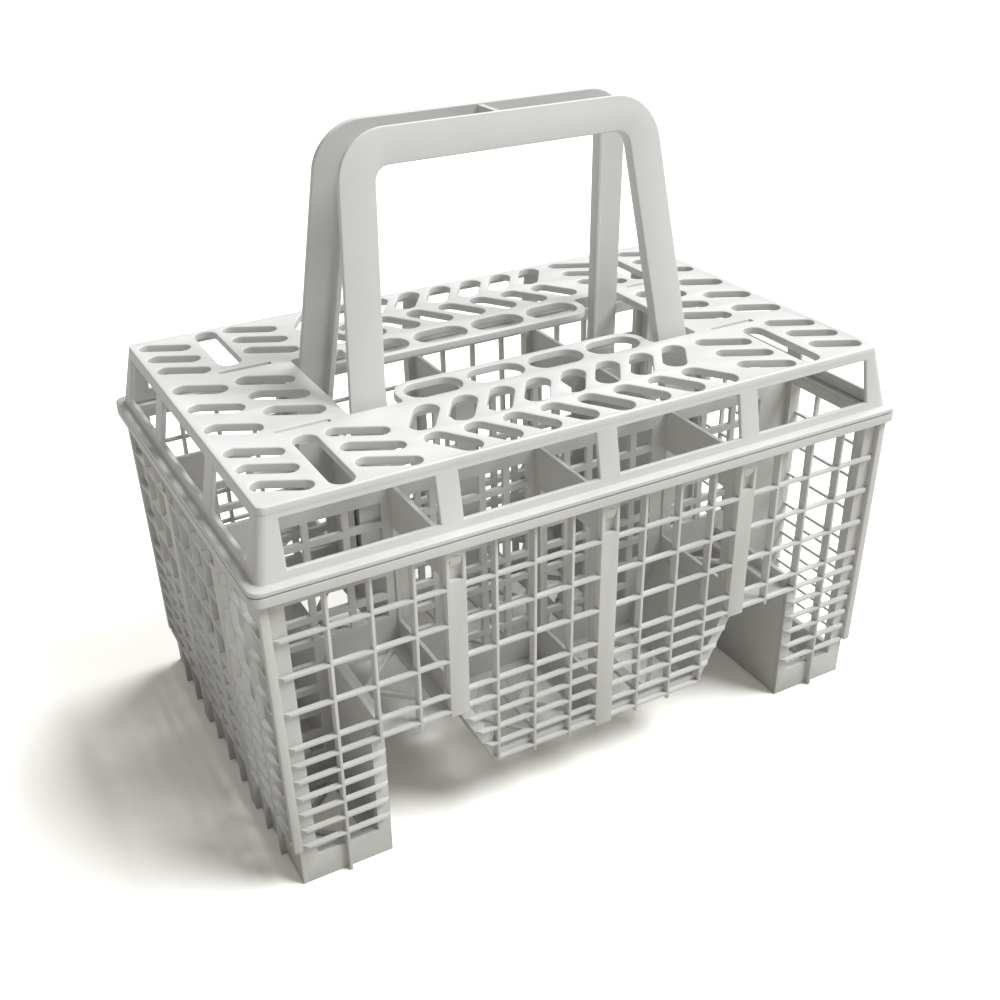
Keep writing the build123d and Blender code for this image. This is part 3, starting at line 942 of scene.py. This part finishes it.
def makeFloor(s):
    # seen by the camera the paper is twice as bright, so that only the deep shadow shows on it
    deselectAll()
    bpy.ops.mesh.primitive_plane_add(size=s["floorSize"], location=(0, 0, 0))
    floor = bpy.context.object
    floor.name = "studio_floor"
    material = bpy.data.materials.new("studioFloor")
    material.use_nodes = True
    nodes, links = material.node_tree.nodes, material.node_tree.links
    nodes.clear()
    output = nodes.new("ShaderNodeOutputMaterial")
    paper = nodes.new("ShaderNodeBsdfDiffuse")
    paper.inputs["Color"].default_value = (*s["floorColour"], 1)
    bounce = nodes.new("ShaderNodeBsdfDiffuse")
    bounce.inputs["Color"].default_value = (*s["bounceColour"], 1)
    both = nodes.new("ShaderNodeAddShader")
    seen = nodes.new("ShaderNodeLightPath")
    pick = nodes.new("ShaderNodeMixShader")
    links.new(paper.outputs[0], both.inputs[0])
    links.new(paper.outputs[0], both.inputs[1])
    links.new(seen.outputs["Is Camera Ray"], pick.inputs[0])
    links.new(bounce.outputs[0], pick.inputs[1])
    links.new(both.outputs[0], pick.inputs[2])
    links.new(pick.outputs[0], output.inputs["Surface"])
    floor.data.materials.append(material)


def makeLamp(name, look):
    sun = bpy.data.lights.new(name, "SUN")
    sun.energy = look["strength"]
    sun.angle = radians(look["angle"])
    sun.color = look["colour"]
    lamp = bpy.data.objects.new(name, sun)
    bpy.context.scene.collection.objects.link(lamp)
    lamp.rotation_mode = "QUATERNION"
    lamp.rotation_quaternion = Vector(look["from"]).to_track_quat("Z", "Y")


def makeLight(s):
    for name, look in s["lamps"].items():
        makeLamp(name, look)
    world = bpy.data.worlds.new("studio")
    bpy.context.scene.world = world
    world.use_nodes = True
    nodes, links = world.node_tree.nodes, world.node_tree.links
    nodes.clear()
    output = nodes.new("ShaderNodeOutputWorld")
    sky = nodes.new("ShaderNodeBackground")
    sky.inputs["Color"].default_value = (*s["skyColour"], 1)
    sky.inputs["Strength"].default_value = s["skyStrength"]
    white = nodes.new("ShaderNodeBackground")
    white.inputs["Color"].default_value = (1, 1, 1, 1)
    seen = nodes.new("ShaderNodeLightPath")
    pick = nodes.new("ShaderNodeMixShader")
    links.new(seen.outputs["Is Camera Ray"], pick.inputs[0])
    links.new(sky.outputs[0], pick.inputs[1])
    links.new(white.outputs[0], pick.inputs[2])
    links.new(pick.outputs[0], output.inputs["Surface"])


makeFloor(studio)
makeLight(studio)

# camera at the photo's viewpoint, worked out from the basket's own edges
photoCamera = {
    "azimuth": -28.37,
    "elevation": 28.52,
    "roll": -1.256,
    "lens": 43.88,
    "sensor": 36.0,
    "shift": (0.00042, -0.00817),
    "distance": 459.9,
    "target": (0.0, 0.0, 80.0),
    "clipStart": 0.01,
}


def makeCamera(c):
    a, e, r = radians(c["azimuth"]), radians(c["elevation"]), radians(c["roll"])
    back = Vector((sin(a) * cos(e), -cos(a) * cos(e), sin(e)))
    right = Vector((0, 0, 1)).cross(back).normalized()
    up = back.cross(right)
    across = cos(r) * right + sin(r) * up
    along = cos(r) * up - sin(r) * right
    camera = bpy.data.objects.new("photoCamera", bpy.data.cameras.new("photoCamera"))
    bpy.context.scene.collection.objects.link(camera)
    place = Matrix((across, along, back)).transposed().to_4x4()
    place.translation = (Vector(c["target"]) + back * c["distance"]) * mm
    camera.matrix_world = place
    camera.data.lens = c["lens"]
    camera.data.sensor_width = c["sensor"]
    camera.data.shift_x, camera.data.shift_y = c["shift"]
    camera.data.clip_start = c["clipStart"]
    bpy.context.scene.camera = camera


makeCamera(photoCamera)
bpy.context.scene.view_settings.view_transform = "Standard"
print("camera and light set")
